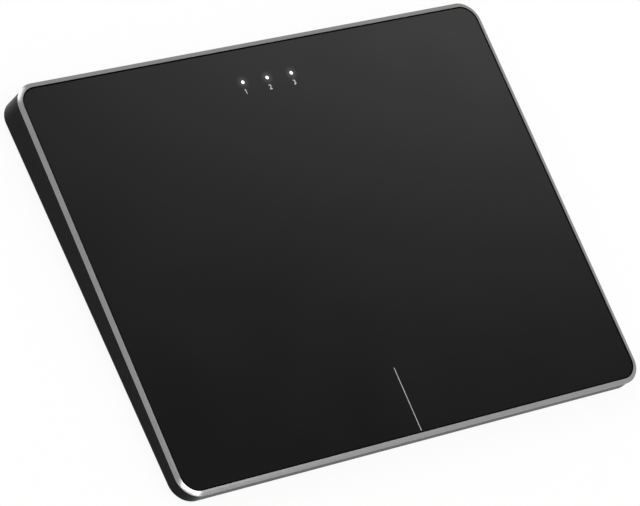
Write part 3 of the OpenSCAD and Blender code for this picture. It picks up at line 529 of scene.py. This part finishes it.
def boss(x, y):
    """A round post on the cover with a web to the side wall, cut off below the deck."""
    r = BOSS_D / 2
    meet = math.asin(BOSS_WEB / BOSS_D)
    turns = [meet + 2 * (math.pi - meet) * i / ROUND_STEPS for i in range(ROUND_STEPS + 1)]
    outline = [(r * math.cos(a), r * math.sin(a)) for a in turns]
    outline += [(BOSS_REACH, -BOSS_WEB / 2), (BOSS_REACH, BOSS_WEB / 2)]
    side = math.copysign(1, x)
    spots = [(x + side * px, y + py) for px, py in outline]
    low = [WORLD @ Vector((px, py, FLOOR_Z + BOSS_LIFT)) for px, py in spots]
    high = [WORLD @ Vector((px, py, deck_height(py, BOSS_TOP))) for px, py in spots]
    return new_object("boss", *loft([low, high]))


def bore(x, y):
    spots = [(x + px, y + py) for px, py in circle(BORE_D / 2)]
    levels = (FLOOR_Z - COVER_T, FLOOR_Z + BORE_DEPTH)
    rings = [[WORLD @ Vector((px, py, z)) for px, py in spots] for z in levels]
    return new_object("bore", *loft(rings))


def pocket(space, x, wall_y, w, depth, levels):
    """A cutter for a pocket in the front wall, which starts past the wall's inner face."""
    near = wall_y + POCKET_PAST
    far = wall_y - depth
    corners = [(x - w / 2, far), (x + w / 2, far), (x + w / 2, near), (x - w / 2, near)]
    rings = [[space @ Vector((px, py, z)) for px, py in corners] for z in levels]
    return new_object("pocket", *loft(rings))


def case():
    rounding = bend((0, EDGE_R), (0, 0), (EDGE_R, 0), steps=WALL_STEPS)
    rings = [wall_ring(0, z=SHOULDER_Z)]
    rings += [wall_ring(inset, over=over) for inset, over in rounding]
    rings += [
        wall_ring(COVER_WALL, over=0),
        wall_ring(COVER_WALL, over=COVER_T),
        wall_ring(WALL_T, over=COVER_T),
        wall_ring(WALL_T, z=LEDGE_Z),
        wall_ring(SEAT_W, z=LEDGE_Z),
        wall_ring(SEAT_W, z=-BEZEL_H),
        wall_ring(SEAT_W - SKIRT_T, z=-BEZEL_H),
        wall_ring(SEAT_W - SKIRT_T, z=SHOULDER_Z),
    ]
    shell = new_object("case", *loft(rings, closed=True))
    for x, y in screw_places()[0]:
        combine(shell, "UNION", boss(x, y))
        cut(shell, bore(x, y))
    inner_y = WALL_T - CASE_D / 2
    for x in (-TAB_X, TAB_X):
        cut(shell, pocket(DECK, x, inner_y, TAB_POCKET_W, TAB_POCKET_DEPTH, TAB_POCKET_Z))
    wall_y = (DECK @ Vector((0, inner_y, underside(inner_y) + COVER_T))).y / MM
    levels = [FLOOR_Z + over for over in HOOK_POCKET_OVER]
    for x in (-HOOK_X, 0, HOOK_X):
        cut(shell, pocket(WORLD, x, wall_y, HOOK_POCKET_W, HOOK_POCKET_DEPTH, levels))
    cut(shell, port_cutter())
    return dress(shell, "base", "case_black", "case_frame")


# Touch plate, lights and print
def plate():
    edge = PLATE_EDGE
    rounding = bend((0, PLATE_TOP - edge), (0, PLATE_TOP), (edge, PLATE_TOP), steps=EDGE_STEPS)
    rings = [deck_ring(rounded_outline(PLATE_W, PLATE_D, PLATE_R), PLATE_LOW)]
    for inset, z in rounding:
        outline = rounded_outline(PLATE_W - 2 * inset, PLATE_D - 2 * inset, PLATE_R - inset)
        rings.append(deck_ring(outline, z))
    glass = new_object("plate", *loft(rings))
    hole = circle(LENS_D / 2)
    for x in LAMPS.values():
        through = [deck_ring(hole, z, x, LAMP_Y) for z in (PLATE_LOW - HOLE_PAST, HOLE_PAST)]
        cut(glass, new_object("lens_hole", *loft(through)))
    return dress(glass, "touch_pad", "touch_glass", "touch_plate")


def lens(number, x):
    """A lit window with a slightly domed face."""
    r = LENS_D / 2 - LENS_PLAY
    rows = [(r, PLATE_LOW - LENS_REACH), (r, PLATE_TOP)]
    rows += [(r * math.cos(a), PLATE_TOP + LENS_DOME * math.sin(a)) for a in DOME_ANGLES]
    rings = [deck_ring(circle(radius), z, x, LAMP_Y) for radius, z in rows]
    name = f"indicator_lens_{number}"
    return dress(new_object(f"light_{number}", *loft(rings)), "touch_pad", "lens_white", name)


def figure_one():
    """A one of height 1: a straight stem with a short flag, as points and faces between heights 0 and 1."""
    stem = ONE_STEM / 2
    tip = -stem - ONE_FLAG_REACH
    top = 0.5 - ONE_FLAG_DROP
    outline = [
        (stem, -0.5),
        (stem, 0.5),
        (-stem, 0.5),
        (tip, top),
        (tip, top - ONE_FLAG_T),
        (-stem, 0.5 - ONE_FLAG_T),
        (-stem, -0.5),
    ]
    return loft([[Vector((x, y, z)) for x, y in outline] for z in (0.0, 1.0)])


def figure(number):
    """A digit of height 1 in the built-in typeface, as points and faces between heights 0 and 1."""
    text = bpy.data.curves.new(f"digit_text_{number}", "FONT")
    text.body = str(number)
    text.resolution_u = TEXT_STEPS
    text.offset = DIGIT_BOLD
    text.extrude = 0.5
    source = bpy.data.objects.new(f"digit_text_{number}", text)
    bpy.context.scene.collection.objects.link(source)
    bpy.context.view_layer.update()
    graph = bpy.context.evaluated_depsgraph_get()
    bm = bmesh.new()
    bm.from_mesh(source.evaluated_get(graph).to_mesh())
    bpy.data.objects.remove(source)
    bmesh.ops.remove_doubles(bm, verts=bm.verts, dist=TEXT_WELD)
    low = Vector(tuple(min(v.co[i] for v in bm.verts) for i in range(3)))
    high = Vector(tuple(max(v.co[i] for v in bm.verts) for i in range(3)))
    middle = (low + high) / 2
    size = 1 / (high.y - low.y)
    points = [
        Vector(((v.co.x - middle.x) * size, (v.co.y - middle.y) * size, v.co.z - low.z))
        for v in bm.verts
    ]
    faces = [tuple(v.index for v in f.verts) for f in bm.faces]
    bm.free()
    return points, faces


def digit(number, x):
    """A printed digit under its light."""
    points, faces = figure_one() if number == 1 else figure(number)
    place = Vector((x + DIGIT_SIDE, LAMP_Y - DIGIT_DROP, PLATE_TOP))
    size = Vector((DIGIT_H, DIGIT_H, PRINT_T))
    verts = [DECK @ (place + point * size) for point in points]
    return dress(new_object(f"digit_{number}", verts, faces), "touch_pad", "mark_print")


def divider():
    length = DIVIDER_L - DIVIDER_MARGIN
    y = -PLATE_D / 2 + DIVIDER_MARGIN + length / 2
    outline = rounded_outline(DIVIDER_W, length, PRINT_EDGE)
    rings = [deck_ring(outline, z, 0, y) for z in (PLATE_TOP, PLATE_TOP + PRINT_T)]
    return dress(new_object("divider", *loft(rings)), "touch_pad", "mark_print", "divider_mark")


# Underside
def softened(node, body, slot, edge_mm):
    """A copy of a CAD node with its sharp edges rounded."""
    bm = bmesh.new()
    bm.from_mesh(frame["nodes"][node].data)
    bmesh.ops.remove_doubles(bm, verts=bm.verts, dist=WELD)
    bmesh.ops.dissolve_limit(bm, angle_limit=FLAT, verts=bm.verts, edges=bm.edges)
    sharp = [e for e in bm.edges if e.is_manifold and e.calc_face_angle() > SHARP]
    bmesh.ops.bevel(
        bm,
        geom=sharp,
        offset=edge_mm * MM,
        offset_type="OFFSET",
        segments=2,
        profile=0.5,
        affect="EDGES",
        clamp_overlap=True,
    )
    mesh = bpy.data.meshes.new(f"{node}_body")
    bm.to_mesh(mesh)
    bm.free()
    obj = bpy.data.objects.new(f"{node}_body", mesh)
    bpy.context.scene.collection.objects.link(obj)
    return dress(obj, body, slot, node)


def foot(node):
    """A round rubber foot with a rolled rim."""
    lo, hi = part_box(node)
    middle = (lo + hi) / 2
    r = (hi.x - lo.x) / 2
    roll = FOOT_ROLL * MM
    rows = [(r, hi.z)]
    rows += [(r - inset, lo.z + up) for inset, up in bend((0, roll), (0, 0), (roll, 0))]
    rings = [
        [Vector((middle.x + x, middle.y + y, z)) for x, y in circle(radius)]
        for radius, z in rows
    ]
    return dress(new_object(f"{node}_pad", *loft(rings)), "base", "foot_rubber", node)


def cross(w, arm):
    """The outline of a cross with arms of that width."""
    a = arm / 2
    b = w / 2
    right = [(b, -a), (b, a), (a, a)]
    back = [(a, b), (-a, b), (-a, a)]
    left = [(-b, a), (-b, -a), (-a, -a)]
    front = [(-a, -b), (a, -b), (a, -a)]
    return right + back + left + front


def cover_screw(number, x, y, low, high):
    """A flat headed screw that is driven up into the case, with a tapered cross recess in its head."""
    edge = SCREW_EDGE
    rounding = bend((edge, 0), (0, 0), (0, edge))
    rows = [(SCREW_HEAD_D / 2 - inset, low + up) for inset, up in rounding]
    rows += [
        (SCREW_HEAD_D / 2, low + SCREW_HEAD_H),
        (SCREW_SHANK_D / 2, low + SCREW_HEAD_H),
        (SCREW_SHANK_D / 2, high - SCREW_POINT),
        (SCREW_SHANK_D / 2 - SCREW_POINT, high),
    ]
    place = Vector((x, y, 0))
    rings = [[(place + Vector((px, py, z))) * MM for px, py in circle(r)] for r, z in rows]
    screw = new_object(f"cover_screw_{number}", *loft(rings))
    recess = []
    for wide, up in RECESS_TAPER:
        outline = cross(RECESS_W * wide, RECESS_ARM * wide)
        recess.append([(place + Vector((px, py, low + up))) * MM for px, py in outline])
    cut(screw, new_object("recess", *loft(recess)))
    return dress(screw, "base", "screw_steel", "cover_screws")


def cover_screws():
    places, low, high = screw_places()
    for number, (x, y) in enumerate(places, 1):
        cover_screw(number, x, y, low, high)


bezel()
case()
plate()
for number, x in LAMPS.items():
    lens(number, x)
    digit(number, x)
divider()
for end in ("front", "back"):
    for side in ("left", "right"):
        foot(f"foot_{end}_{side}")
for node, body, slot, edge_mm in SOFT_EDGES:
    softened(node, body, slot, edge_mm)
cover_screws()


# Floor, light and camera
def floor():
    half = FLOOR_HALF
    corners = [(-half, -half, 0), (half, -half, 0), (half, half, 0), (-half, half, 0)]
    ground = new_object("floor", corners, [(0, 1, 2, 3)])
    mat = bpy.data.materials.new("floor")
    mat.use_nodes = True
    tree = mat.node_tree
    shader = tree.nodes["Principled BSDF"]
    shader.inputs["Base Color"].default_value = (FLOOR_GREY, FLOOR_GREY, FLOOR_GREY, 1)
    shader.inputs["Roughness"].default_value = FLOOR_ROUGH
    shader.inputs["Specular IOR Level"].default_value = 0.0
    white = tree.nodes.new("ShaderNodeEmission")
    path = tree.nodes.new("ShaderNodeLightPath")
    seen = path.outputs["Is Camera Ray"]
    for kind in ("Is Glossy Ray", "Is Transmission Ray"):
        either = tree.nodes.new("ShaderNodeMath")
        either.operation = "MAXIMUM"
        tree.links.new(seen, either.inputs[0])
        tree.links.new(path.outputs[kind], either.inputs[1])
        seen = either.outputs["Value"]
    share = tree.nodes.new("ShaderNodeMath")
    share.operation = "MULTIPLY"
    share.inputs[1].default_value = FLOOR_WHITE
    tree.links.new(seen, share.inputs[0])
    mix = tree.nodes.new("ShaderNodeMixShader")
    tree.links.new(share.outputs["Value"], mix.inputs["Fac"])
    tree.links.new(shader.outputs["BSDF"], mix.inputs[1])
    tree.links.new(white.outputs["Emission"], mix.inputs[2])
    tree.links.new(mix.outputs["Shader"], tree.nodes["Material Output"].inputs["Surface"])
    ground.data.materials.append(mat)


def panel(name, place, along, length, breadth, radiance):
    """A soft light panel that faces the object, with its length along a direction."""
    lamp = bpy.data.lights.new(name, "AREA")
    lamp.shape = "RECTANGLE"
    lamp.size = length
    lamp.size_y = breadth
    lamp.energy = radiance * math.pi * length * breadth
    obj = bpy.data.objects.new(name, lamp)
    back = Vector(place).normalized()
    side = Vector(along)
    side = (side - side.project(back)).normalized()
    obj.matrix_world = Matrix((side, back.cross(side), back)).transposed().to_4x4()
    obj.location = place
    bpy.context.scene.collection.objects.link(obj)


def lights():
    world = bpy.data.worlds.new("studio")
    world.use_nodes = True
    tree = world.node_tree
    where = tree.nodes.new("ShaderNodeTexCoord")
    level = None
    for side, change, begins, full in SKY_PARTS:
        facing = tree.nodes.new("ShaderNodeVectorMath")
        facing.operation = "DOT_PRODUCT"
        facing.inputs[1].default_value = Vector(side).normalized()
        tree.links.new(where.outputs["Generated"], facing.inputs[0])
        part = tree.nodes.new("ShaderNodeMapRange")
        part.interpolation_type = "SMOOTHSTEP"
        part.inputs["From Min"].default_value = math.cos(math.radians(begins))
        part.inputs["From Max"].default_value = math.cos(math.radians(full))
        part.inputs["To Max"].default_value = change
        tree.links.new(facing.outputs["Value"], part.inputs["Value"])
        total = tree.nodes.new("ShaderNodeMath")
        total.operation = "ADD"
        total.inputs[0].default_value = WORLD_LEVEL
        if level is not None:
            tree.links.new(level, total.inputs[0])
        tree.links.new(part.outputs["Result"], total.inputs[1])
        level = total.outputs["Value"]
    tree.links.new(level, tree.nodes["Background"].inputs["Strength"])
    tree.nodes["Background"].inputs["Color"].default_value = (1, 1, 1, 1)
    bpy.context.scene.world = world
    for values in PANELS:
        panel(*values)


def camera():
    """The photograph's view: aimed at a deck point from its direction, rolled about the line of sight."""
    place = DECK @ Vector(CAMERA_PLACE)
    aim = DECK @ Vector(CAMERA_AIM)
    roll = math.radians(CAMERA_ROLL)
    way = (aim - place).normalized()
    up = (DECK.to_3x3() @ Vector((0, 0, 1))).normalized()
    level_right = way.cross(up).normalized()
    level_up = level_right.cross(way)
    right = level_right * math.cos(roll) + level_up * math.sin(roll)
    top = right.cross(way)
    data = bpy.data.cameras.new("camera")
    data.sensor_width = SENSOR_W
    data.lens = CAMERA_LENS
    data.clip_start = CLIP_NEAR
    data.clip_end = CLIP_FAR
    obj = bpy.data.objects.new("camera", data)
    obj.matrix_world = Matrix((right, top, -way)).transposed().to_4x4()
    obj.location = place
    bpy.context.scene.collection.objects.link(obj)
    bpy.context.scene.camera = obj


floor()
lights()
camera()
bpy.context.scene.view_settings.view_transform = "Standard"
